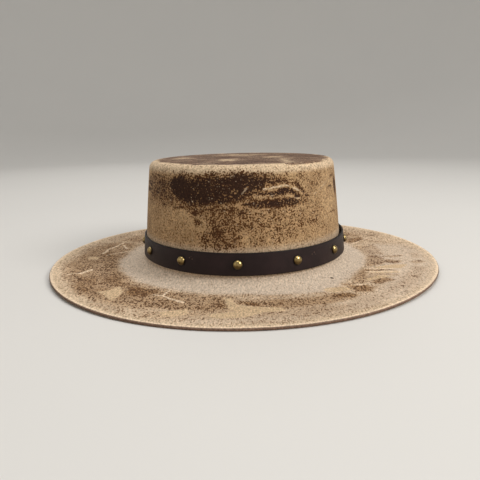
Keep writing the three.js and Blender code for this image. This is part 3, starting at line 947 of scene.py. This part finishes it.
def felt_material(felt, segments):
    """Felt with a mottled grain, brown washes, a dark stain, pale rubbed places and pale creases; painted
    shade darkens the rim's cut edge, and the pale line along the rim's top corner is partly rubbed felt and
    partly painted highlight.
    """
    material, tree, shader, place = new_material("Distressed felt")
    names = ("burn", "wash", "patina", "chalk", "rim", "ledge", "pale", "brim", "lip", "edge")
    burn, wash, patina, chalk, rim, ledge, pale, brim, lip, edge = (attribute(tree, name) for name in names)
    outer = attribute(tree, "outer").step(0.4, 0.6)
    level = attribute(tree, "level").step(0.4, 0.6)

    napped = stretched(place, 1.0, 0.45, 1.0)
    medium = cloud(place, 0.55, detail=2.0, roughness=0.65, seed=3.0)
    grain = cloud(napped, 0.85, detail=1.0, roughness=0.5, seed=6.0)
    upright_specks = cloud(place, 0.86, detail=1.0, roughness=0.45) * 0.78 + medium * 0.22
    level_specks = cloud(napped, 0.92, detail=1.0, roughness=0.45, seed=1.5) * 0.78 + medium * 0.22
    speckle = upright_specks + (level_specks - upright_specks) * level
    clusters = cloud(place, 0.14, detail=2.0, roughness=0.6, seed=9.0)
    uneven = clusters - 0.5
    drift = cloud(place, 0.035, detail=3.0, roughness=0.5, seed=12.0)
    fibres = cloud(stretched(place, 1.0, 1.0, 2.0), 3.4, detail=2.0, seed=15.0)
    streaks = cloud(stretched(place, 0.7, 1.6, 1.0), 0.09, detail=4.0, roughness=0.6, seed=18.0)
    strayed = place
    for scale, reach in ((0.3, 1.8), (0.07, 5.0)):
        values = {"Vector": place, "Scale": scale, "Detail": 2.0}
        stray = add_node("ShaderNodeTexNoise", {}, values, "Color")
        strayed = added(strayed, scaled(added(stray, (-0.5, -0.5, -0.5)), reach))

    smooth = (chalk * 0.8 + rim * 0.45 + ledge * 0.4 + pale * 0.75).least(1)
    patch = (attribute(tree, "patch") + (medium - 0.5) * 5).step(-0.4, 0.4)
    crease = crease_line(strayed, segments) * (clusters + medium + brim * 0.2).step(0.62, 0.96)
    freckles = specks(speckle, 0.34 + uneven * 0.8 - smooth * 0.16)
    washed = (wash + (drift - 0.5) * 0.3 - rim * 0.25) * wash.step(0.02, 0.2)
    washed = washed * (1 - patch * 0.88) * (1 - chalk * 0.8)
    pepper = specks(speckle, washed * 0.6 + uneven * 0.55 + 0.04) * washed.step(0.05, 0.35)
    char = specks(speckle, burn * 0.7 + uneven * 0.8 + 0.15) * burn.step(0.06, 0.3)
    rubbed = layered(
        blend(patina.step(0.1, 0.9), felt.cream, felt.patina),
        (streaks.step(0.5, 0.7) * 0.45, felt.cream),
        (streaks.step(0.48, 0.34) * 0.75, felt.patina_speck),
        (specks(speckle, patina * 0.4 + uneven * 0.6) * 0.85, felt.patina_speck),
    )
    base = layered(
        blend(brim, felt.tan, felt.sand),
        (drift.step(0.35, 0.7) * 0.35, felt.freckle),
        ((ledge * 0.85 + rim * 0.6).least(1) * outer, felt.cream),
        (chalk.most(pale * 0.75) * 0.9, felt.chalk),
        (freckles * (0.78 - smooth * 0.52), felt.freckle),
        (washed.most(0) * 0.9, felt.wash),
        (pepper * 0.88, felt.wash_speck),
        (patch * 0.78, felt.patch),
        (burn.step(0.0, 1.0) * (0.45 + clusters * 0.6), felt.scorch),
        (char * 0.95, blend(burn.step(0.4, 0.9), felt.wash_speck, felt.burn)),
        (specks(medium, patina * 1.5 - 0.2, gain=3.4, edge=0.3), rubbed),
        (crease * 0.85, blend(brim, felt.cream, felt.fold)),
        (dots(place, BRIM_DOTS), felt.burn),
        # The pale line on the rim's top corner: partly rubbed felt, partly painted highlight.
        (lip * (0.8 + medium * 0.3), felt.fold),
    )
    base = blend(outer, blend(freckles * 0.5, felt.inner, felt.freckle), base)
    # Painted shade: the rim's cut edge is darkened as if unlit.
    base = blend(edge * 0.9, base, felt.painted_rim_shade)
    tone = 1.0 + (grain - 0.5) * 1.7
    tone = blend(smooth * 0.4, combine(tone, tone, tone), (1.0, 1.0, 1.0))
    relief = grain * 0.6 + fibres * 0.5 + crease * 0.5 + medium * 0.4 - char * 0.2
    connect(
        shader, Base_Color=blend(1.0, base, tone, mode="MULTIPLY"), Roughness=0.84 + (fibres - 0.5) * 0.2,
        Normal=bumped(relief, 0.35 * MM, 0.7), Specular_IOR_Level=0.12, Sheen_Weight=0.04,
        Sheen_Roughness=0.5,
    )
    return material


class HAT_OT_make_felt(bpy.types.Operator):
    """Make the crown and brim, one piece of blocked felt"""

    bl_idname = "hat.make_felt"
    bl_label = "Make Felt"

    def execute(self, context):
        felt = context.scene.hat_felt
        hat = Hat(context.scene)
        segments = crease_segments(hat)
        section, outer_rows = hat.section()
        inputs = {
            "Half Width": hat.half_width, "Half Length": hat.half_length,
            "Flare Reach": felt.flare_reach, "Brim Width": felt.brim_width,
            "Lift Start": felt.lift_start, "Side Lift": felt.side_lift, "Waviness": felt.waviness,
        }
        material = felt_material(felt, segments)
        tree = felt_tree(len(section), outer_rows, felt.around, inputs, material)
        piece = grown_piece("felt_hat", mesh_of_points("felt_section", section), tree, inputs)
        refine_creases(piece.data, segments)
        raise_creases(piece.data, segments)
        mark_felt(hat, piece.data)
        settle(piece, "felt", "felt_body")
        return {"FINISHED"}


END_RINGS = 3  # close together at each end of the strap, where it is drawn in
PINCH = 0.12 * MM  # between those rings
DIMPLE_WIDTH = 4.6 * MM
FACE_STEPS = 22  # up each face of the strap
CORNER_STEPS = 3  # round each of its corners
DYED_EDGE = (7.2, 8.2)  # from the strap's middle, where its dyed edge begins and is full


def band_numbers(scene, hat):
    """The band's path, and the values that the strap and the row of studs share."""
    band, studs = scene.hat_band, scene.hat_studs
    path, front, once_round = hat.band_path()
    height = hat.band_high - hat.band_low
    count = int(once_round / studs.pitch)
    row_length = (count - 2) * studs.pitch
    first = studs.shift - (count - 2) // 2 * studs.pitch
    lap_stud = first + (row_length + once_round) / 2
    return path, {
        "Front": front, "Start": lap_stud - band.lap / 2 - once_round, "Length": once_round + band.lap,
        "Leather": band.leather, "Lap": band.lap, "Ramp": band.ramp, "Layer": band.leather + band.lap_gap,
        "Lean": (hat.wall_out(hat.band_high) - hat.wall_out(hat.band_low)) / height,
        "Middle Height": (hat.band_low + hat.band_high) / 2,
        "First Stud": first, "Pitch": studs.pitch, "Studs": count, "Lap Stud": lap_stud,
    }


def band_frame(path, value, along):
    """The place on the band's path at a distance from the front, and the way out from there."""
    settings = {"mode": "LENGTH", "use_all_curves": True}
    values = {"Curves": path, "Length": along + value["Front"]}
    place = add_node("GeometryNodeSampleCurve", settings, values, "Position")
    heading = Wire(place.socket.node.outputs["Tangent"])
    return place, vector_math("NORMALIZE", vector_math("CROSS_PRODUCT", heading, UP))


def layer_lift(value, along):
    """How far the strap stands out on its way up to the lap's outer layer."""
    end = value["Start"] + value["Length"] - value["Lap"]
    return along.step(end - value["Ramp"], end) * value["Layer"]


def strap_tree(rows, columns, dimple, inputs, material):
    """Sweeps the strap's section along its path, laps its ends and presses a dimple at each stud."""
    tree, value = new_geometry_tree("Leather strap", inputs)
    path = add_node("GeometryNodeMeshToCurve", {}, {0: value["Geometry"]})
    grid, column, row = lattice(tree, columns, rows + 1)
    depth, height, _ = section_point(tree, value["Geometry"], row % rows)

    spaces = columns - 1 - 2 * END_RINGS
    step = (value["Length"] - 2 * END_RINGS * PINCH) / spaces
    whole_steps = (column - END_RINGS).most(0).least(spaces)
    small_steps = column.least(END_RINGS) + (column - (END_RINGS + spaces)).most(0)
    run = whole_steps * step + small_steps * PINCH
    along = value["Start"] + run
    grid = stored(grid, "along", along)
    grid = stored(grid, "height", height)

    near_end = (run.least(value["Length"] - run) / (END_RINGS * PINCH)).least(1).most(0)
    fullness = (near_end * (2 - near_end)).root()
    middle = value["Leather"] * -0.5
    depth = middle + (depth - middle) * fullness

    number = ((along - value["First Stud"]) / value["Pitch"]).whole().most(0).least(value["Studs"] - 2)
    off = along - value["First Stud"] - number * value["Pitch"]
    off_lap = along - value["Lap Stud"]
    near_stud = (off * off).least(off_lap * off_lap) + height * height
    press = (near_stud * (-1 / DIMPLE_WIDTH ** 2)).exp() * dimple
    slow = cloud(combine(along * 40, height * 40, 0.0), 1.0, detail=1.0, seed=2.0)
    depth = depth + layer_lift(value, along) - press + (slow - 0.5) * 0.35 * MM
    # Kept for the leather material, which paints a shadow ring round each stud from it.
    grid = stored(grid, "press", press / dimple)

    place, out = band_frame(path, value, along)
    sideways = scaled(out, depth + height * value["Lean"])
    upwards = combine(0.0, 0.0, height + value["Middle Height"])
    return end_geometry_tree(placed(grid, added(place, sideways, upwards)), material)


def strap_section(band, width):
    """The strap's section as a ring of points, each its depth from the outer face and its height."""
    radius = band.edge_radius
    half = width / 2
    inner, outer = radius - band.leather, -radius
    corners = [
        (outer, -half + radius, 1.5 * math.pi), (outer, half - radius, 0),
        (inner, half - radius, math.pi / 2), (inner, -half + radius, math.pi),
    ]
    counts = [FACE_STEPS, 1, FACE_STEPS, 1]
    points = []
    for (x, y, start), count, (next_x, next_y, _) in zip(corners, counts, corners[1:] + corners[:1]):
        arc = [start + math.pi / 2 * i / CORNER_STEPS for i in range(CORNER_STEPS + 1)]
        points += [(x + radius * math.cos(a), y + radius * math.sin(a), 0) for a in arc]
        cos, sin = radius * math.cos(arc[-1]), radius * math.sin(arc[-1])
        for i in range(1, count):
            points.append((x + (next_x - x) * i / count + cos, y + (next_y - y) * i / count + sin, 0))
    return points


def leather_material(band):
    """Smooth dark leather with a fine grain, dull rubbed places, darker cut edges and a painted shadow ring
    round each stud.
    """
    material, tree, shader, place = new_material("Dark leather")
    edge = abs(attribute(tree, "height") / MM).step(*DYED_EDGE)
    pores = add_node("ShaderNodeTexVoronoi", {}, {"Vector": place, "Scale": 1.9}, "Distance")
    wrinkles = cloud(place, 0.9, detail=3.0, roughness=0.6)
    wear = cloud(place, 0.06, detail=4.0, roughness=0.6, seed=2.0)
    scuffs = cloud(stretched(place, 0.3, 0.3, 2.2), 0.5, detail=3.0, seed=4.0)
    # The dark edges are the strap's dye; the ring round each stud, from its dimple, is painted shadow.
    shade = (edge * 0.85).most(attribute(tree, "press").step(0.25, 0.62) * 0.75)
    run = combine(attribute(tree, "along") / MM, attribute(tree, "height") / MM, 0.0)
    nicks = dots(run, [(along, height, 0, radius) for along, height, radius in STRAP_NICKS])
    base = layered(
        blend(wear.step(0.4, 0.72) * 0.5, band.hide, band.worn),
        (scuffs.step(0.6, 0.72) * 0.3, band.worn),
        (shade, band.cut),
        (pores.step(0.2, 0.0) * 0.4, band.cut),
        (nicks * 0.8, band.nick),
    )
    relief = wrinkles * 0.6 + pores * 0.6 + scuffs * 0.3 - nicks * 2
    connect(
        shader, Base_Color=base,
        Roughness=0.5 + (wrinkles - 0.5) * 0.25 + scuffs.step(0.55, 0.75) * 0.12,
        Normal=bumped(relief, 0.1 * MM, 0.4), Specular_IOR_Level=0.25,
    )
    return material


class HAT_OT_make_band(bpy.types.Operator):
    """Make the leather strap around the crown, lapped at the back"""

    bl_idname = "hat.make_band"
    bl_label = "Make Band"

    def execute(self, context):
        band = context.scene.hat_band
        hat = Hat(context.scene)
        section = strap_section(band, hat.band_high - hat.band_low)
        path, inputs = band_numbers(context.scene, hat)
        tree = strap_tree(len(section), band.along, band.dimple, inputs, leather_material(band))
        piece = grown_piece("leather_band", mesh_of_points("strap", section, path), tree, inputs)
        settle(piece, "band_leather", "hat_band")
        return {"FINISHED"}


def stud_tree(rows, studs, inputs, material):
    """Turns a stud's section around its axis and sets a row of studs along the band."""
    tree, value = new_geometry_tree("Row of studs", inputs)
    path = add_node("GeometryNodeMeshToCurve", {}, {0: value["Geometry"]})
    grid, column, row = lattice(tree, studs.around + 1, rows)
    radius, rise, _ = section_point(tree, value["Geometry"], row)
    grid = stored(grid, "rise", rise)
    angle = column * (2 * math.pi / studs.around)
    stud = placed(grid, combine(radius * angle.cos(), radius * angle.sin(), rise))

    line = add_node("GeometryNodeMeshLine", {}, {"Count": value["Studs"]})
    place_in_row = add_node("GeometryNodeInputIndex", tree=tree)
    is_last = (place_in_row - value["Studs"] + 2).least(1).most(0)
    in_row = value["First Stud"] + place_in_row * value["Pitch"]
    along = in_row * (1 - is_last) + value["Lap Stud"] * is_last
    place, out = band_frame(path, value, along)
    sideways = scaled(out, layer_lift(value, along))
    position = added(place, sideways, combine(0.0, 0.0, value["Middle Height"]))
    points = add_node("GeometryNodeSetPosition", {}, {"Geometry": line, "Position": position})

    normal = added(out, combine(0.0, 0.0, -value["Lean"]))
    facing = add_node("FunctionNodeAlignRotationToVector", {"axis": "Z"}, {"Vector": normal})
    row_of_studs = add_node(
        "GeometryNodeInstanceOnPoints", {}, {"Points": points, "Instance": stud, "Rotation": facing},
    )
    chances = []
    for i in range(3):
        values = {"Min_001": -1.0, "Max_001": 1.0, "Seed": studs.seed + i}
        chances.append(
            add_node("FunctionNodeRandomValue", {"data_type": "FLOAT"}, values, "Value_001", tree)
        )
    askew = combine(chances[0] * studs.tilt, chances[1] * studs.tilt, chances[2] * math.pi)
    values = {"Instances": row_of_studs, "Rotation": askew}
    return end_geometry_tree(add_node("GeometryNodeRotateInstances", {}, values), material)


FOOT_EDGE = 0.12 * MM  # worn corner at a stud's foot
DOME_STEPS = 11
DOME_FULLNESS = 0.92  # below 1 for a dome that is fuller than half an oval


def stud_section(studs, sunk):
    """Points from the middle of a stud's back, round its lip and over its dome."""
    radius, edge = studs.diameter / 2, FOOT_EDGE
    points = [(0, -sunk, 0), (radius * 0.6, -sunk, 0), (radius - edge, -sunk, 0)]
    points += [(radius, edge - sunk, 0), (radius, studs.lip * 0.7, 0)]
    for i in range(DOME_STEPS):
        angle = math.pi / 2 * i / DOME_STEPS
        rise = studs.lip + (studs.dome - studs.lip) * math.sin(angle)
        points.append(((radius - edge / 2) * math.cos(angle) ** DOME_FULLNESS, rise, 0))
    return points + [(0, studs.dome, 0)]


def brass_material(studs, middle):
    """Aged brass, bright on the dome and darker in its pits; darker at the foot by patina and painted shade,
    and towards the brim by painted shade.
    """
    material, tree, shader, place = new_material("Aged brass")
    rise = attribute(tree, "rise") / studs.dome
    height = place.split()[2]
    stain = cloud(place, 0.45, detail=3.0, roughness=0.6)
    pits = cloud(place, 2.4, detail=2.0, roughness=0.6, seed=3.0)
    scratches = cloud(stretched(place, 1.0, 1.0, 4.0), 3.5, detail=2.0, seed=5.0)
    # Darker at each dome's foot, partly patina in the hollow and partly painted shade; the stain and the pits
    # are patina.
    tarnish_and_shade = rise.step(0.42, 0.02) * 0.85 + stain.step(0.5, 0.75) * 0.35 + pits.step(0.6, 0.75) * 0.3
    # Painted shade: each stud is darkened on its lower half, towards the brim.
    tarnish_and_shade = (tarnish_and_shade + height.step(middle + 1.8, middle - 1.6) * 0.85).least(1)
    base = blend(tarnish_and_shade, studs.brass, studs.shaded_tarnish)
    relief = pits * 0.3 + scratches * 0.2
    connect(
        shader, Base_Color=base, Metallic=1.0 - tarnish_and_shade * 0.25,
        Roughness=0.26 + tarnish_and_shade * 0.25 + (scratches - 0.5) * 0.15,
        Normal=bumped(relief, 0.06 * MM, 0.5),
    )
    return material


class HAT_OT_make_studs(bpy.types.Operator):
    """Make the row of domed brass studs on the band"""

    bl_idname = "hat.make_studs"
    bl_label = "Make Studs"

    def execute(self, context):
        scene = context.scene
        studs = scene.hat_studs
        section = stud_section(studs, scene.hat_band.dimple)
        path, inputs = band_numbers(scene, Hat(scene))
        material = brass_material(studs, inputs["Middle Height"] / MM)
        tree = stud_tree(len(section), studs, inputs, material)
        piece = grown_piece("brass_studs", mesh_of_points("stud", section, path), tree, inputs)
        settle(piece, "stud_brass", *(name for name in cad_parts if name.startswith("stud_")))
        return {"FINISHED"}


WHITE = (1.0, 0.98, 0.95)
LIGHTS = [
    # name, place, size, power in watts, colour
    ("key", (1.15, -0.75, 1.0), 0.7, 14.7, WHITE),
    ("top", (0.0, 0.0, 1.5), 1.1, 8.5, WHITE),
    ("fill", (-1.1, -0.7, 0.6), 0.9, 0.6, (1.0, 0.96, 0.9)),
    ("back", (-0.3, 1.2, 1.0), 0.8, 3.0, WHITE),
]
ROOM_LIGHT = 0.33
SENSOR = 36
FLOOR_AROUND = 96
FLOOR_STEPS = 12  # up the bend
AIM = Vector((0, 0, 0.04))


def add_light(name, place, size, power, tone):
    light = bpy.data.lights.new(name, "AREA")
    light.shape = "DISK"
    light.size = size
    light.energy = power
    light.color = tone
    lamp = new_object(name, light)
    lamp.location = place
    lamp.rotation_euler = (AIM - Vector(place)).to_track_quat("-Z", "Y").to_euler()


def add_world(scene):
    world = bpy.data.worlds.new("Studio")
    world.use_nodes = True
    background = world.node_tree.nodes["Background"]
    background.inputs["Color"].default_value = (*WHITE, 1)
    background.inputs["Strength"].default_value = ROOM_LIGHT
    scene.world = world
    scene.view_settings.view_transform = "Standard"


def add_floor(stage):
    """A flat round floor that bends up into a low backdrop."""
    bend = stage.floor_bend
    profile = []
    for i in range(FLOOR_STEPS + 1):
        angle = math.pi / 2 * i / FLOOR_STEPS
        profile.append((stage.floor_flat + bend * math.sin(angle), bend * (1 - math.cos(angle))))
    body = bmesh.new()
    rings = []
    angles = [2 * math.pi * i / FLOOR_AROUND for i in range(FLOOR_AROUND)]
    for radius, z in profile:
        rings.append([body.verts.new((radius * math.cos(a), radius * math.sin(a), z)) for a in angles])
    body.faces.new(rings[0])
    for inner, outer in zip(rings, rings[1:]):
        for i in range(FLOOR_AROUND):
            j = (i + 1) % FLOOR_AROUND
            body.faces.new((inner[i], outer[i], outer[j], inner[j]))
    mesh = bpy.data.meshes.new("floor")
    body.to_mesh(mesh)
    body.free()
    mesh.shade_smooth()
    material, _, shader, place = new_material("Studio floor")
    mottle = cloud(place, 0.004, detail=2.0)
    tone = blend(mottle.step(0.3, 0.7) * 0.06, stage.floor, (0.6, 0.6, 0.6))
    connect(shader, Base_Color=tone, Roughness=0.75, Specular_IOR_Level=0.2)
    mesh.materials.append(material)
    floor = new_object("floor", mesh)


def add_camera(scene, stage):
    """A camera that looks along Y from in front, turned by pan, tilt and roll."""
    camera = bpy.data.cameras.new("camera")
    camera.lens = stage.lens
    camera.sensor_width = SENSOR
    level = math.cos(stage.tilt)
    ahead = Vector((math.sin(stage.pan) * level, math.cos(stage.pan) * level, math.sin(stage.tilt)))
    right = Vector((math.cos(stage.pan), -math.sin(stage.pan), 0))
    up = right.cross(ahead)
    cos, sin = math.cos(stage.roll), math.sin(stage.roll)
    axes = Matrix((cos * right + sin * up, cos * up - sin * right, -ahead)).transposed()
    eye = new_object("camera", camera)
    eye.matrix_world = Matrix.Translation((0, -stage.distance, stage.height)) @ axes.to_4x4()
    scene.camera = eye


class HAT_OT_make_stage(bpy.types.Operator):
    """Make the floor, the lights and the camera"""

    bl_idname = "hat.make_stage"
    bl_label = "Make Stage"

    def execute(self, context):
        add_floor(context.scene.hat_stage)
        for row in LIGHTS:
            add_light(*row)
        add_world(context.scene)
        add_camera(context.scene, context.scene.hat_stage)
        return {"FINISHED"}


GROUPS = {
    "hat_felt": HAT_PG_felt,
    "hat_band": HAT_PG_band,
    "hat_studs": HAT_PG_studs,
    "hat_stage": HAT_PG_stage,
}
OPERATORS = (HAT_OT_make_felt, HAT_OT_make_band, HAT_OT_make_studs, HAT_OT_make_stage)


class HAT_PT_panel(bpy.types.Panel):
    """Lists the hat's sizes, colours and pieces"""

    bl_label = "Bolero Hat"
    bl_idname = "HAT_PT_panel"
    bl_space_type = "VIEW_3D"
    bl_region_type = "UI"
    bl_category = "Hat"

    def draw(self, context):
        for (group, kind), operator in zip(GROUPS.items(), OPERATORS):
            box = self.layout.box()
            for name in kind.__annotations__:
                box.prop(getattr(context.scene, group), name)
            box.operator(operator.bl_idname)


CLASSES = (*GROUPS.values(), *OPERATORS, HAT_PT_panel)


def register():
    for kind in CLASSES:
        bpy.utils.register_class(kind)
    for name, group in GROUPS.items():
        setattr(bpy.types.Scene, name, PointerProperty(type=group))


def unregister():
    for name in GROUPS:
        delattr(bpy.types.Scene, name)
    for kind in reversed(CLASSES):
        bpy.utils.unregister_class(kind)


def main():
    register()
    bpy.ops.hat.make_felt()
    bpy.ops.hat.make_band()
    bpy.ops.hat.make_studs()
    bpy.ops.hat.make_stage()


if __name__ == "__main__":
    main()
